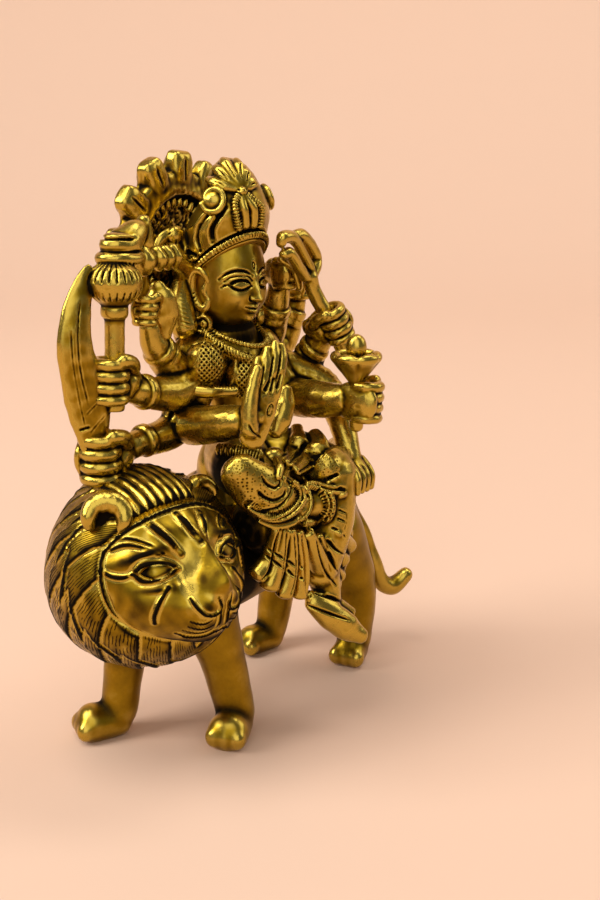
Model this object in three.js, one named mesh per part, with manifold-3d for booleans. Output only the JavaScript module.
// Durga seated on her lion: one small solid brass casting, faceted.
// X runs along the lion, its head towards minus X; the goddess faces minus Y; Z is up.
// The figure is a free form: every place and radius is in millimetres as drawn, 150 high,
// and the whole pose grows with FIGURE_HEIGHT.

import * as THREE from 'three';
import { mergeVertices } from 'three/addons/utils/BufferGeometryUtils.js';
import Module from 'manifold-3d';

const FIGURE_HEIGHT = 150;
const DRAWN_HEIGHT = 150;
const SCALE = FIGURE_HEIGHT / DRAWN_HEIGHT;

const BRASS = { color: 0xb08a2e, roughness: 0.36, metalness: 1.0 };

const wasm = await Module();
wasm.setup();

const vector = ([x, y, z]) => new THREE.Vector3(x, y, z);
const mix = (a, b, t) => a + (b - a) * t;
const mixPoint = (p, q, t) => p.map((value, i) => mix(value, q[i], t));
const row = (count, make) => Array.from({ length: count }, (_, i) => make(i / (count - 1), i));
const circle = (count, make) => Array.from({ length: count }, (_, i) => make((i / count) * 2 * Math.PI, i));
const degrees = THREE.MathUtils.degToRad;
const clamp = THREE.MathUtils.clamp;

// Shapes

// A tapering bar along stations of [x, y, z, radius], its ends rounded off.
// flat below 1 thins it across the direction given by up.
function limb(stations, { sides = 8, steps = 1, flat = 1, up = [0, 0, 1], tip = 0.6 } = {}) {
  const curve = new THREE.CatmullRomCurve3(stations.map(vector), false, 'catmullrom', 0.5);
  const spans = stations.length - 1;
  const rings = spans * steps + 2;
  const bar = new THREE.CylinderGeometry(1, 1, 1, sides, rings);
  const place = bar.attributes.position;
  const upward = vector(up);
  for (let i = 0; i < place.count; i++) {
    const ring = Math.round((place.getY(i) + 0.5) * rings);
    const end = ring === 0 ? -1 : ring === rings ? 1 : 0;
    const t = clamp((ring - 1) / (rings - 2), 0, 1);
    const span = Math.min(Math.floor(t * spans), spans - 1);
    const radius = mix(stations[span][3], stations[span + 1][3], t * spans - span);
    const along = curve.getTangent(t);
    const across = upward.clone().cross(along).normalize();
    const over = across.clone().cross(along);
    const width = radius * (end ? tip : 1);
    const point = curve.getPoint(t).addScaledVector(along, end * radius * tip);
    point.addScaledVector(across, width * place.getX(i));
    point.addScaledVector(over, width * flat * place.getZ(i));
    place.setXYZ(i, point.x, point.y, point.z);
  }
  return bar;
}

// An egg of three radii, turned about X, Y and Z in degrees.
function ball(centre, radii, { turn = [0, 0, 0], sides = 7, rings = 4 } = {}) {
  const egg = new THREE.SphereGeometry(1, sides, rings);
  egg.scale(...radii);
  egg.rotateX(degrees(turn[0]));
  egg.rotateY(degrees(turn[1]));
  egg.rotateZ(degrees(turn[2]));
  egg.translate(...centre);
  return egg;
}

// A turned form: profile of [radius, height] from foot to top, standing at foot along axis.
function turned(foot, axis, profile, { sides = 12, squash = 1 } = {}) {
  const form = new THREE.LatheGeometry(profile.map(([r, h]) => new THREE.Vector2(r, h)), sides);
  form.scale(1, 1, squash);
  const stand = new THREE.Quaternion().setFromUnitVectors(new THREE.Vector3(0, 1, 0), vector(axis).normalize());
  form.applyQuaternion(stand);
  form.translate(...foot);
  return form;
}

// A bangle or collar round a limb.
function bangle(centre, axis, radius, width = 1.6, sides = 6) {
  const direction = vector(axis).normalize();
  const foot = vector(centre).addScaledVector(direction, -width / 2).toArray();
  return turned(foot, axis, [[0, 0], [radius, 0], [radius, width], [0, width]], { sides });
}

function inFrame(frame, forms) {
  forms.forEach((form) => form.applyMatrix4(frame));
  return forms;
}

// Lion

const TRUNK = [[-30, 0, 44, 14.5], [-8, 0, 44, 14], [14, 0, 45, 14], [34, 0, 46, 14], [41, -1, 45, 11]];
const LEGS = [
  { top: [-23, -8, 36, 8.5], knee: [-20.5, -11, 23, 6.2], ankle: [-17.6, -13, 6, 5.4], toe: [-24, -15.4, 3.6, 6] },
  { top: [-33, 8, 36, 8.5], knee: [-32.5, 12, 21, 5.5], ankle: [-34.5, 13, 6, 5], toe: [-41, 17, 4, 5.8] },
  { top: [34, -8, 42, 10.5], knee: [41, -12.6, 24, 6.6], ankle: [41, -12.6, 6, 5.5], toe: [37, -13.4, 3.2, 5.4] },
  { top: [33, 8, 42, 10.5], knee: [36.5, 12, 24, 6.2], ankle: [34.5, 13.4, 6, 5], toe: [27, 15.8, 3.2, 5] },
];
const TAIL = [[43, -4, 50, 3], [48, -9, 42, 2.6], [51, -12, 32, 2.5], [53.5, -13.5, 22, 2.8], [58, -15.5, 18.5, 3], [62, -18, 21.5, 2.6]];

function lionBody() {
  const legs = LEGS.flatMap(({ top, knee, ankle, toe }) => {
    const heel = [ankle[0], ankle[1], toe[2], ankle[3]];
    return [limb([top, knee, ankle], { sides: 7, up: [1, 0, 0] }), limb([heel, toe], { sides: 7, tip: 0.7 })];
  });
  return [limb(TRUNK, { sides: 10 }), ...legs, limb(TAIL, { sides: 5, up: [0, 1, 0] })];
}

// The head looks forward along its own minus Y, with its left and right along its own X.
const HEAD = { centre: [-38.1, -1.3, 52], yaw: -12, roll: 1, pitch: -6 };
const headFrame = new THREE.Matrix4().makeRotationFromEuler(
  new THREE.Euler(degrees(HEAD.pitch), degrees(-HEAD.roll), degrees(HEAD.yaw), 'ZYX'),
);
headFrame.setPosition(vector(HEAD.centre));

// One ball about the face axis makes face and mane. The face is a dome drawn out to the
// muzzle; round it lie rings of leaf-like locks, each raised along its middle and ending
// in a point over the next ring.
const MANE = { radius: 23, locks: 13, rings: 3, faceEdge: 57, ringStep: 35, lockLength: 33, chin: 1.6 };
const FACE_ROWS = [[0, 23], [15, 23], [29, 22.6], [43, 23.4], [53, 23.8], [56, 22.2]];
const MUZZLE = { tilt: 12, reach: 7.6, width: 29 };
const HAIR_TOP = { halfSpin: 34, fade: 12 };

function maneRows() {
  const front = FACE_ROWS.map(([tilt, radius]) => ({ tilt, face: radius }));
  const rings = Array.from({ length: MANE.rings }, (_, ring) => {
    const start = MANE.faceEdge + ring * MANE.ringStep;
    return [
      { tilt: start + MANE.lockLength * 0.45, rise: 1.3, ring, point: 0 },
      { tilt: start + MANE.lockLength - 2, rise: 1.5, ring, point: 12 },
      { tilt: start + MANE.lockLength, rise: -0.2, ring, point: 12 },
    ];
  });
  return [...front, ...rings.flat(), { tilt: 180, face: MANE.radius }];
}

function faceAndMane() {
  const rows = maneRows();
  const columns = MANE.locks * 2;
  const grid = new THREE.SphereGeometry(1, columns, rows.length - 1);
  const place = grid.attributes.position;
  const spot = new THREE.Spherical();
  const muzzle = new THREE.Vector3(0, -Math.cos(degrees(MUZZLE.tilt)), -Math.sin(degrees(MUZZLE.tilt)));
  for (let i = 0; i < place.count; i++) {
    const { tilt, face, ring, rise, point } = rows[Math.floor(i / (columns + 1))];
    const column = i % (columns + 1);
    const spin = (column / columns) * 360;
    const middle = (column + ring) % 2 === 0;
    const fromTop = Math.min(spin, 360 - spin);
    const calm = clamp((fromTop - HAIR_TOP.halfSpin) / HAIR_TOP.fade, 0, 1);
    const under = MANE.chin * clamp((fromTop - 110) / 50, 0, 1);
    const lift = middle ? rise : rise - 1.6;
    const angle = face || middle ? tilt : tilt - point * calm;
    spot.set(face ?? MANE.radius + under + lift * calm, degrees(angle), degrees(spin));
    const tuft = new THREE.Vector3().setFromSpherical(spot).multiply(new THREE.Vector3(-1, -1, 1));
    const off = tuft.angleTo(muzzle) / degrees(MUZZLE.width);
    tuft.setLength(tuft.length() + MUZZLE.reach * Math.exp(-off * off));
    place.setXYZ(i, tuft.x, tuft.y, tuft.z);
  }
  return grid;
}

// Straight ridges of hair run back over the top from the line across the forehead.
const RIDGES = { count: 7, halfWidth: 9.5, from: 54, to: 96, radius: 1.9, sink: 0.5 };

function hairRidges() {
  return row(RIDGES.count, (t) => {
    const side = mix(-RIDGES.halfWidth, RIDGES.halfWidth, t);
    const stations = row(3, (s) => {
      const angle = degrees(mix(RIDGES.from, RIDGES.to, s));
      const lean = degrees(side * mix(2.1, 2.7, s));
      const reach = MANE.radius - RIDGES.sink;
      const out = Math.sin(angle) * reach;
      return [Math.sin(lean) * out, -Math.cos(angle) * reach, Math.cos(lean) * out, RIDGES.radius];
    });
    return limb(stations, { sides: 4, up: [1, 0, 0] });
  });
}

const EAR = { foot: [13.4, -5.5, 14.6], axis: [0.3, -0.78, 0.5], profile: [[0, 0], [6, 0], [6.9, 2.2], [6, 4.4], [3.8, 4.4], [2.6, 2], [0, 1.8]] };

function lionFeatures() {
  const pairs = [-1, 1].flatMap((side) => [
    ball([side * 10.4, -20.6, 3], [4.8, 2.4, 2.2], { turn: [0, side * 10, side * 26], sides: 6 }),
    limb([[side * 15.6, -16.6, 8, 1.6], [side * 9.6, -21.2, 8, 2.6], [side * 4, -23, 6.6, 1.6]], { sides: 4 }),
    turned([side * EAR.foot[0], EAR.foot[1], EAR.foot[2]], [side * EAR.axis[0], EAR.axis[1], EAR.axis[2]], EAR.profile, { sides: 9 }),
  ]);
  return [
    limb([[0, -20, 12, 3.6], [0, -25, 5, 3.8], [0, -28, 0.4, 4.6]], { sides: 6, up: [1, 0, 0] }),
    ball([0, -28.4, -8.8], [5, 3, 3.6], { sides: 6 }),
    ...pairs,
  ];
}

// Goddess: seat, trunk and head

const TORSO = [[1.5, 1, 62, 12.5], [1.5, 0.5, 70, 12], [1.8, -0.5, 78, 8.8], [1.5, -0.5, 87, 9.4], [1, 0, 96, 12], [0.8, 0, 102, 9.4]];

function trunk() {
  return [
    ball([1, 5, 60], [17, 11, 7], { sides: 9 }),
    limb(TORSO, { sides: 8, flat: 0.78, up: [0, 1, 0] }),
    ball([-5, -6.4, 95], [5.4, 4.6, 5.2], { sides: 6 }),
    ball([6.4, -6.4, 95], [5.4, 4.6, 5.2], { sides: 6 }),
    limb([[0.4, 2, 98, 7], [-0.3, 0.6, 111, 5.6]], { sides: 6, up: [0, 1, 0] }),
    turned([0.4, -1.2, 101.2], [0, -0.35, 1], [[0, 0], [8, 0], [7.4, 2], [0, 2]], { sides: 8 }),
  ];
}

// The head is turned a little towards minus X; inside headTurn it faces minus Y.
const HEAD_AT = { neck: [-0.5, 1, 117], yaw: -9 };
const headTurn = new THREE.Matrix4().makeRotationZ(degrees(HEAD_AT.yaw)).setPosition(vector(HEAD_AT.neck));
const FACE = { radii: [9.4, 10, 11.8], chin: [0, -6, -8.2], brow: 9.4 };
const CROWN = { foot: 9.8, dip: 0.47, dipHeight: 14, sides: 12, squash: 1 };
const CROWN_PROFILE = [[0, -3], [10, -3], [10.6, -1.2], [9.9, 1], [10.6, 2.6], [10.4, 9], [8.8, 14.8], [5.2, 20], [0, 22]];
const PLUME = { root: [-3, -8.6, 23.5], leaves: 7, reach: 8.4, back: 3.4 };

function head() {
  const crown = turned([0, 0, 0], [0, 0, 1], CROWN_PROFILE, { sides: CROWN.sides });
  const place = crown.attributes.position;
  for (let i = 0; i < place.count; i++) {
    const height = place.getZ(i);
    const fade = clamp(1 - height / CROWN.dipHeight, 0, 1);
    place.setZ(i, height - CROWN.dip * place.getY(i) * fade);
  }
  crown.translate(0, 0, CROWN.foot);
  const sides = [-1, 1].flatMap((side) => [
    ball([side * 9.2, 2.6, -1.8], [1.9, 3, 5.2], { sides: 6 }),
    ball([side * 8.8, 1.6, -7.6], [2.4, 2.4, 3], { sides: 6 }),
    ball([side * 3.8, -8.4, 1.4], [3, 1.6, 1.5], { sides: 6 }),
    ball([side * 8.4, -1.4, 20.6], [2.8, 3.6, 3.6], { sides: 6 }),
  ]);
  const [px, py, pz] = PLUME.root;
  const plume = circle(PLUME.leaves, (turn) => {
    const tip = [px + PLUME.reach * 0.7 * Math.sin(turn), py + PLUME.back * (1 + Math.cos(turn)) * 0.7, pz + PLUME.reach * Math.cos(turn)];
    const leaf = mixPoint([px, py, pz], tip, 0.55);
    return limb([[px, py, pz, 0.9], [leaf[0], leaf[1] - 0.8, leaf[2], 2.4], [...tip, 1]], { sides: 4, flat: 0.6, up: [0, 1, 0] });
  });
  return inFrame(headTurn, [
    ball([0, 0, 0], FACE.radii, { sides: 10, rings: 7 }),
    ball(FACE.chin, [4.2, 3.6, 3.4], { sides: 6 }),
    limb([[0, -9, 3, 1], [0, -11.4, -2.4, 1.9]], { sides: 5, up: [1, 0, 0] }),
    ball([0, -9.2, -5.4], [2.9, 1.6, 1.4], { sides: 6 }),
    crown,
    ...sides,
    ...plume,
  ]);
}

// Halo: a thick ring with round teeth behind the crown, closed at the back by a disc.
const HALO = { centre: [-2, 12, 125], depth: 6.5, rim: 20.6, hollow: 14.3, teeth: 7, pitch: 28, midTooth: 86, tooth: [0, 3.2, 4.6, 3.2] };

function halo() {
  const { rim, hollow, depth } = HALO;
  const perTooth = HALO.tooth.length;
  const columns = Math.round((360 / HALO.pitch) * perTooth);
  const profile = [[0, 2.6], [hollow, 2.6], [hollow, 0], [rim, 0.8], [rim, depth], [0, depth]];
  const ring = turned([0, 0, 0], [0, 1, 0], profile, { sides: columns });
  const place = ring.attributes.position;
  const half = (HALO.teeth * perTooth) / 2;
  for (let i = 0; i < place.count; i++) {
    const column = Math.floor(i / profile.length) % columns;
    const index = i % profile.length;
    const step = column - half;
    const spin = degrees(HALO.midTooth) - (step * 2 * Math.PI) / columns;
    const toothed = column > 0 && column < HALO.teeth * perTooth;
    const reach = profile[index][0] + (profile[index][0] === rim && toothed ? HALO.tooth[column % perTooth] : 0);
    place.setXYZ(i, reach * Math.cos(spin), profile[index][1], reach * Math.sin(spin));
  }
  ring.translate(...HALO.centre);
  return [
    ring,
    limb([[0, 6, 119, 7], [-1.5, 15, 119, 8]], { sides: 6 }),
    limb([[0, 5, 98, 8], [-1, 14, 110, 6]], { sides: 6, up: [1, 0, 0] }),
  ];
}

// Arms: each bends at its elbow and ends in a bangle and a closed hand.

function arm({ shoulder, elbow, wrist, hand, thick = 4.4 }) {
  const forearm = vector(wrist).sub(vector(elbow)).toArray();
  const stations = [[...shoulder, thick + 0.9], [...elbow, thick + 0.4], [...wrist, thick - 1], [...hand, 2.4]];
  return [limb(stations, { sides: 6, up: [0.2, 1, 0.3] }), bangle(mixPoint(elbow, wrist, 0.9), forearm, thick)];
}

// Fingers curl round the held axis: four ridges stacked along it, with a thumb over them.
const FINGERS = 4;
const FINGER_PITCH = 2.5;
const FIST_RADIUS = 4;

function fist(centre, axis, wrist, size = 1) {
  const grip = vector(axis).normalize();
  const length = FINGERS * FINGER_PITCH * size;
  const radius = FIST_RADIUS * size;
  const foot = vector(centre).addScaledVector(grip, -length / 2).toArray();
  const ridges = Array.from({ length: FINGERS }, (_, i) => [
    [radius, (i + 0.5) * FINGER_PITCH * size],
    [radius - 0.9 * size, (i + 1) * FINGER_PITCH * size],
  ]).flat();
  const profile = [[0, 0], [radius - 0.9 * size, 0], ...ridges, [0, length]];
  const back = vector(wrist).sub(vector(centre));
  back.addScaledVector(grip, -back.dot(grip)).normalize();
  const side = grip.clone().cross(back);
  const at = (turn, lift) => vector(centre)
    .addScaledVector(back, Math.cos(degrees(turn)) * radius)
    .addScaledVector(side, Math.sin(degrees(turn)) * radius)
    .addScaledVector(grip, lift * size).toArray();
  const thumb = limb([[...at(-30, 4), 1.8 * size], [...at(-110, 4.4), 1.6 * size]], { sides: 4, up: grip.toArray() });
  const hand = turned(foot, axis, profile, { sides: 6 });
  return size > 1 ? [hand, thumb] : [hand];
}

const RIGHT = {
  blessing: { shoulder: [-10, 1, 99], elbow: [-18, 2, 84], wrist: [-19.5, -15, 86], hand: [-17.5, -20, 88], thick: 5.2 },
  sword: { shoulder: [-10, 4, 94], elbow: [-19, 4, 82], wrist: [-33, 4.5, 80.5], hand: [-42.8, 5, 79.5] },
  mace: { shoulder: [-10, 3.5, 97], elbow: [-21, 2, 92], wrist: [-34, 2, 94], hand: [-42.5, 2, 97.5], thick: 4.6 },
  bud: { shoulder: [-10, 5, 100], elbow: [-18, 4.5, 97], wrist: [-26, 4, 104], hand: [-29.5, 4, 111] },
  conch: { shoulder: [-8, 7, 104], elbow: [-14, 8, 113], wrist: [-12, 6.5, 122], hand: [-20.5, 5, 125.5] },
};
const LEFT = {
  lotus: { shoulder: [11, 0, 99], elbow: [15.5, -7, 85.5], wrist: [12.5, -24, 86.2], hand: [11.5, -31, 88], thick: 4.8 },
  trident: { shoulder: [11, 3, 99], elbow: [23.5, -3.5, 90], wrist: [23.5, -11, 99], hand: [22, -15.5, 104.5] },
  drum: { shoulder: [10, 4, 100.5], elbow: [18, 2, 101], wrist: [16.5, -2, 110], hand: [16, -4.5, 118.5] },
  knee: { shoulder: [10.5, 3, 96], elbow: [23, -12, 88], wrist: [20, -21, 79], hand: [17, -26.5, 68] },
  upper: { shoulder: [10, 5, 100], elbow: [26, 4.5, 97], wrist: [28.5, 1, 107], hand: [28.5, 0, 114] },
};
const GRIPS = [
  [RIGHT.sword, [0, 0, 1], 1.3], [RIGHT.mace, [0.06, 0, 1], 1.05], [RIGHT.bud, [0.1, 0, 1], 0.85], [RIGHT.conch, [1, 0, 0.1], 0.85],
  [LEFT.lotus, [0, 0, 1], 1.15], [LEFT.trident, [-0.42, 0.16, 0.9], 1.05], [LEFT.drum, [0, 0, 1], 0.9], [LEFT.upper, [0, 0, 1], 0.9],
];

// The sword is a broad curved blade; mace, conch, bud, lotus, trident and drum follow.
const BLADE = [[-44.5, 5, 83, 4.8], [-49, 5, 93, 5.2], [-51.4, 5, 106, 5.4], [-50.6, 5, 117, 4.6], [-47.2, 5, 123, 2.2]];
const MACE = { foot: [-43.2, 2, 91], axis: [0.05, 0, 1], profile: [[0, 0], [2.4, 0], [2.6, 23], [3.8, 23.4], [3.8, 25.6], [6.2, 28.6], [6.4, 31.6], [4.6, 34.2], [0, 35]] };
const CONCH = { foot: [-32.6, 4, 124.2], profile: [[0, 0], [8.4, 0.4], [8.6, 2], [10, 4], [9.6, 5.8], [3.8, 7.2], [2, 10.8], [0, 11]] };
const LOTUS = { foot: [10.6, -31.4, 91.5], profile: [[0, 0], [2.5, 0], [4.2, 6], [7.4, 11], [5.2, 11.6], [3, 8.4], [2.6, 12.4], [0, 13.4]], petals: 5, notch: 3 };
const TRIDENT_NECK = [17, -14.2, 115.4, 2.6];

function lotus() {
  const { foot, profile, petals, notch } = LOTUS;
  const cup = turned([0, 0, 0], [0, 0, 1], profile, { sides: petals * 2 });
  const place = cup.attributes.position;
  for (let i = 0; i < place.count; i++) {
    const column = Math.floor(i / profile.length) % (petals * 2);
    const [radius, height] = profile[i % profile.length];
    if (column % 2 && radius > 4 && height > 6) {
      const shrink = 1 - notch / (radius + notch);
      place.setXYZ(i, place.getX(i) * shrink, place.getY(i) * shrink, height - notch * 0.8);
    }
  }
  return cup.translate(...foot);
}

function heldThings() {
  const prongs = [
    [[19, -14.8, 111, 2.4], [13.4, -13.6, 119, 2.6], [9.6, -12.8, 124.6, 2.4], [9.8, -12.4, 129, 1.7]],
    [[17.6, -14.2, 114, 2.2], [13.6, -12.4, 129.4, 1.8]],
    [[18, -14.2, 114, 2.2], [19.8, -13, 121.4, 2.5], [17.8, -12, 128.6, 1.8]],
  ].map((stations) => limb(stations, { sides: 4, flat: 0.8, up: [0, 1, 0] }));
  return [
    limb(BLADE, { sides: 6, flat: 0.45, up: [0.5, 0.86, 0], tip: 0.3 }),
    limb([[-41.6, 5, 73.4, 2.4], [-43.4, 5, 85, 2.4]], { sides: 5, up: [1, 0, 0] }),
    turned(MACE.foot, MACE.axis, MACE.profile, { sides: 7 }),
    limb([[-25, 4, 106, 2.6], [-24, 3.4, 112.6, 4.2], [-22.6, 4, 118.6, 1.8]], { sides: 6, up: [1, 0, 0] }),
    turned(CONCH.foot, [0.1, 0, 1], CONCH.profile, { sides: 8, squash: 0.6 }),
    lotus(),
    limb([[11.6, -31, 81, 1.9], [11, -31.2, 93, 1.9]], { sides: 5, up: [1, 0, 0] }),
    limb([[26.5, -19, 94, 2], [21, -15.6, 107, 2.2], TRIDENT_NECK], { sides: 5, up: [0, 1, 0] }),
    ...prongs,
    ball([18.4, -5, 119.5], [3.6, 3.4, 4.4], { sides: 6 }),
    limb([[28.5, 0, 112, 2.2], [28.5, 0, 121, 2.6]], { sides: 5, up: [1, 0, 0] }),
  ];
}

// The blessing hand stands upright, its palm turned forward and a little outward.
const PALM = { heel: [-16.6, -20.5, 85], across: [0.9, -0.44, 0], out: [-0.44, -0.9, 0], fingers: [19.5, 21.8, 22.4, 21] };

function blessingHand() {
  const lay = (across, lift, out = 0) => PALM.heel.map((value, i) => value + PALM.across[i] * across + PALM.out[i] * out + (i === 2 ? lift : 0));
  const fingers = PALM.fingers.map((length, i) => {
    const across = mix(-5.6, 5.4, i / (PALM.fingers.length - 1));
    return limb([[...lay(across, 9), 2], [...lay(across * 0.9, 16, -0.4), 1.9], [...lay(across * 0.8, length, -1.4), 1.4]], { sides: 4, up: PALM.across });
  });
  const thumb = limb([[...lay(5, 3, 1), 3.3], [...lay(7.6, 9, 2), 2.8], [...lay(7.2, 15.5, 2), 1.9]], { sides: 5, up: PALM.across });
  const palm = limb([[...lay(0, -1), 4.8], [...lay(0, 5), 7], [...lay(0, 11), 6.8]], { sides: 7, flat: 0.46, up: PALM.out.map((value) => -value) });
  return [palm, ...fingers, thumb];
}

function arms() {
  return [
    ball([-10, 3, 96.5], [7.2, 6.6, 8.8]),
    ball([10.8, 2.6, 97], [6.4, 6, 8]),
    ...Object.values(RIGHT).flatMap(arm),
    ...Object.values(LEFT).flatMap(arm),
    ...GRIPS.flatMap(([{ hand, wrist }, axis, size]) => fist(hand, axis, wrist, size)),
    ball(LEFT.knee.hand, [4, 5, 3.4], { turn: [20, 0, 0] }),
    ...blessingHand(),
    ...heldThings(),
  ];
}

// Legs and cloth

const RIGHT_THIGH = [[0, 0, 71, 9], [-9, -9, 71.5, 9.6], [-14.5, -19, 69, 9], [-13.6, -25, 67, 7]];
const LEFT_THIGH = [[4, -2, 70, 8.6], [9, -14, 70, 7.8], [10, -24, 67.5, 7.2]];
const LEFT_SHIN = [[10, -24, 67.5, 7.2], [7.6, -26, 55, 6.2], [3, -25.5, 42, 4.8]];

// A hem lies round the knee as an arc of raised cloth.
function crescent(centre, reach, from, to, radius) {
  const stations = row(4, (t) => {
    const angle = degrees(mix(from, to, t));
    const belly = Math.sin(t * Math.PI);
    return [centre[0] + reach[0] * Math.cos(angle), centre[1] - 1.2 * belly, centre[2] + reach[1] * Math.sin(angle), radius * (0.5 + 0.5 * belly)];
  });
  return limb(stations, { sides: 4, up: [0, 1, 0] });
}

// A pleated sheet fans out from its gathered top edge to its hem; every other fold stands proud.
function pleats(topEdge, hemEdge, folds, { thick = 4, proud = 2.2, sag = 2 } = {}) {
  const sheet = new THREE.BoxGeometry(1, 1, 1, folds * 2, 1, 1);
  const place = sheet.attributes.position;
  for (let i = 0; i < place.count; i++) {
    const across = place.getX(i) + 0.5;
    const column = Math.round(across * folds * 2);
    const down = 0.5 - place.getY(i);
    const front = place.getZ(i) > 0;
    const [x, y, z] = mixPoint(mixPoint(...topEdge, across), mixPoint(...hemEdge, across), down);
    const fold = front && column % 2 ? proud * (0.35 + 0.65 * down) : 0;
    const drop = sag * down * Math.sin(across * Math.PI) + (column % 2 ? down * 1.1 : 0);
    place.setXYZ(i, x, y - fold + (front ? 0 : thick), z - drop);
  }
  return sheet;
}

function legsAndCloth() {
  return [
    limb(RIGHT_THIGH, { sides: 8 }),
    limb(LEFT_THIGH, { sides: 7 }),
    limb(LEFT_SHIN, { sides: 7, up: [0, 1, 0] }),
    limb([[-12, -21, 62, 4], [8, -26, 62, 5]], { sides: 6 }),
    crescent([-9.5, -27.2, 67], [4.6, 3.6], 195, 350, 1.1),
    crescent([-9.5, -26.6, 67], [8.4, 6.6], 190, 355, 1.4),
    crescent([0, -28.6, 64], [4.6, 5], -110, 80, 1.8),
    pleats([[-18, -21.5, 64], [-6, -25.5, 61]], [[-25, -20, 51], [-4.6, -26.5, 39.5]], 5, { sag: 3.4 }),
    pleats([[-6, -27, 60], [3, -29, 60]], [[-4.6, -27.6, 42.5], [9.8, -27.6, 38.5]], 4, { sag: 1 }),
    limb([[-12, -15, 57, 9], [10, -15, 58, 9]], { sides: 7 }),
    limb([[-3, -16, 50, 9], [5, -17, 46, 7.4]], { sides: 6 }),
    limb([[-5, -24.5, 40.5, 3.6], [3, -28, 36, 4.2], [8.4, -32, 28, 3.6], [9.6, -34.4, 24, 2.2]], { sides: 6, flat: 0.7, up: [-0.8, 0, 0.6] }),
    ball([3.4, -10, 75], [5.5, 3, 2.6], { sides: 6 }),
  ];
}

// One casting

function solid(form) {
  form.scale(SCALE, SCALE, SCALE);
  form.deleteAttribute('normal');
  form.deleteAttribute('uv');
  const closed = mergeVertices(form, 1e-3);
  return new wasm.Manifold(new wasm.Mesh({
    numProp: 3,
    vertProperties: closed.attributes.position.array,
    triVerts: new Uint32Array(closed.index.array),
  }));
}

const forms = [
  ...lionBody(),
  ...inFrame(headFrame, [faceAndMane(), ...hairRidges(), ...lionFeatures()]),
  ...trunk(),
  ...head(),
  ...halo(),
  ...arms(),
  ...legsAndCloth(),
];

// The paws are cut flat where they stand.
const GROUND = { side: 400, depth: 40 };
const ground = new THREE.BoxGeometry(GROUND.side, GROUND.side, GROUND.depth).translate(0, 0, -GROUND.depth / 2);
const casting = wasm.Manifold.union(forms.map(solid)).subtract(solid(ground));
const faces = casting.getMesh();

// The joins leave slivers: a corner is drawn onto its neighbour wherever the surface
// moves by less than FLATNESS, so the faces stay few.
const FLATNESS = 0.08;
const MIN_TURN = 0.5;

function withoutSlivers({ vertProperties, triVerts }) {
  const corners = Array.from({ length: vertProperties.length / 3 }, (_, i) => new THREE.Vector3().fromArray(vertProperties, i * 3));
  const triangles = Array.from({ length: triVerts.length / 3 }, (_, i) => Array.from(triVerts.slice(i * 3, i * 3 + 3)));
  const around = corners.map(() => new Set());
  triangles.forEach((triangle, i) => triangle.forEach((corner) => around[corner].add(i)));
  const neighbours = (corner) => new Set([...around[corner]].flatMap((i) => triangles[i]).filter((other) => other !== corner));
  const planeOf = (triangle) => new THREE.Plane().setFromCoplanarPoints(...triangle.map((corner) => corners[corner]));

  const shiftFor = (corner, target) => {
    const shared = [...neighbours(corner)].filter((other) => neighbours(target).has(other));
    if (shared.length !== 2) return Infinity;
    let shift = 0;
    for (const i of around[corner]) {
      const plane = planeOf(triangles[i]);
      shift = Math.max(shift, Math.abs(plane.distanceToPoint(corners[target])));
      if (triangles[i].includes(target)) continue;
      const moved = triangles[i].map((other) => (other === corner ? target : other));
      const area = new THREE.Triangle(...moved.map((other) => corners[other])).getArea();
      if (area < 1e-4 || planeOf(moved).normal.dot(plane.normal) < MIN_TURN) return Infinity;
    }
    return shift;
  };

  const collapse = (corner, target) => {
    for (const i of around[corner]) {
      if (triangles[i].includes(target)) {
        triangles[i].forEach((other) => other !== corner && around[other].delete(i));
        triangles[i] = null;
      } else {
        triangles[i] = triangles[i].map((other) => (other === corner ? target : other));
        around[target].add(i);
      }
    }
    around[corner].clear();
  };

  for (let pass = 0; pass < 3; pass++) {
    corners.forEach((_, corner) => {
      if (around[corner].size === 0) return;
      const choices = [...neighbours(corner)].map((target) => [shiftFor(corner, target), target]);
      const [shift, target] = choices.reduce((best, next) => (next[0] < best[0] ? next : best));
      if (shift < FLATNESS) collapse(corner, target);
    });
  }

  const geometry = new THREE.BufferGeometry().setFromPoints(triangles.filter(Boolean).flat().map((corner) => corners[corner]));
  return mergeVertices(geometry, 1e-4);
}

const geometry = withoutSlivers(faces);
geometry.computeBoundingBox();
const middle = geometry.boundingBox.getCenter(new THREE.Vector3());

const durga = new THREE.Mesh(geometry, new THREE.MeshStandardMaterial(BRASS));
durga.name = 'durga_on_lion';
durga.position.set(-middle.x, -middle.y, 0);

const figure = new THREE.Group();
figure.add(durga);

export default figure;
